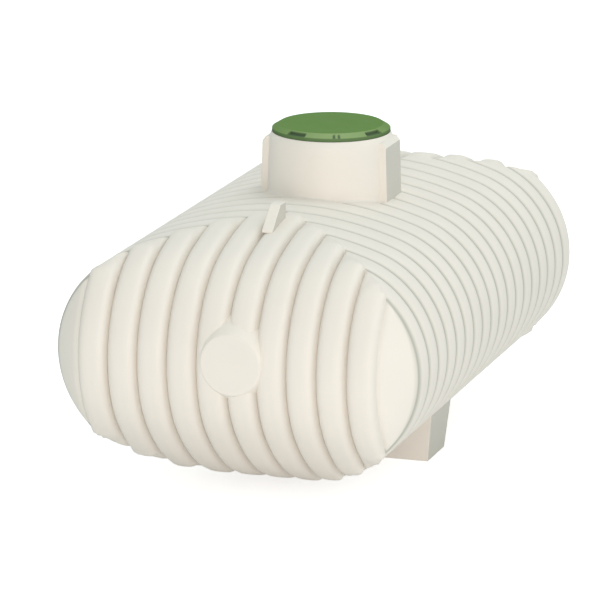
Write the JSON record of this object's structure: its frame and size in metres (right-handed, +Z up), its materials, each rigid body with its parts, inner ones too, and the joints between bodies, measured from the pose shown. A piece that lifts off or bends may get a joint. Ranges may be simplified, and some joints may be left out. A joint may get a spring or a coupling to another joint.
{
  "type": "underground water tank",
  "caption": "Lying oval water tank with hooped barrel, ribbed ends, short manhole neck with a lift-off round lid, pipe bosses and standing feet.",
  "frame": {"origin": "on the floor, midway between the standing feet and under the middle of the barrel", "axes": "+Z up, +Y along the barrel towards its rear end, +X across the barrel"},
  "size_m": [1.8456, 3.096, 1.6713],
  "materials": {
    "shell": "satin moulded plastic, off-white",
    "neck": "satin moulded plastic, off-white",
    "fittings": "satin moulded plastic, off-white",
    "lid": "satin moulded plastic, green"
  },
  "bodies": {
    "tank": {"barrel_crown": "shell", "barrel_keel": "shell", "barrel_shoulder_right": "shell", "barrel_shoulder_left": "shell", "barrel_flank_right": "shell", "barrel_flank_left": "shell", "barrel_bilge_right": "shell", "barrel_bilge_left": "shell", "front_end_brow": "shell", "front_end_shoulder": "shell", "front_end_face": "shell", "front_end_chin": "shell", "rear_end_brow": "shell", "rear_end_shoulder": "shell", "rear_end_face": "shell", "rear_end_chin": "shell", "front_cheek_right": "shell", "front_cheek_left": "shell", "rear_cheek_right": "shell", "rear_cheek_left": "shell", "neck_front": "neck", "neck_rear": "neck", "neck_right": "neck", "neck_left": "neck", "neck_pad_right": "neck", "neck_pad_left": "neck", "neck_collar": "neck", "front_boss": "fittings", "rear_boss": "fittings", "front_lug": "fittings", "rear_lug": "fittings", "foot_right": "fittings", "foot_left": "fittings"},
    "lid": {"lid_cover": "lid", "lid_spigot": "lid", "lid_tab": "lid"}
  },
  "joints": [
    {"name": "lid_lift", "type": "slide", "parent": "tank", "child": "lid", "axis": [0, 0, 1], "range_m": [0, 0.3]}
  ]
}
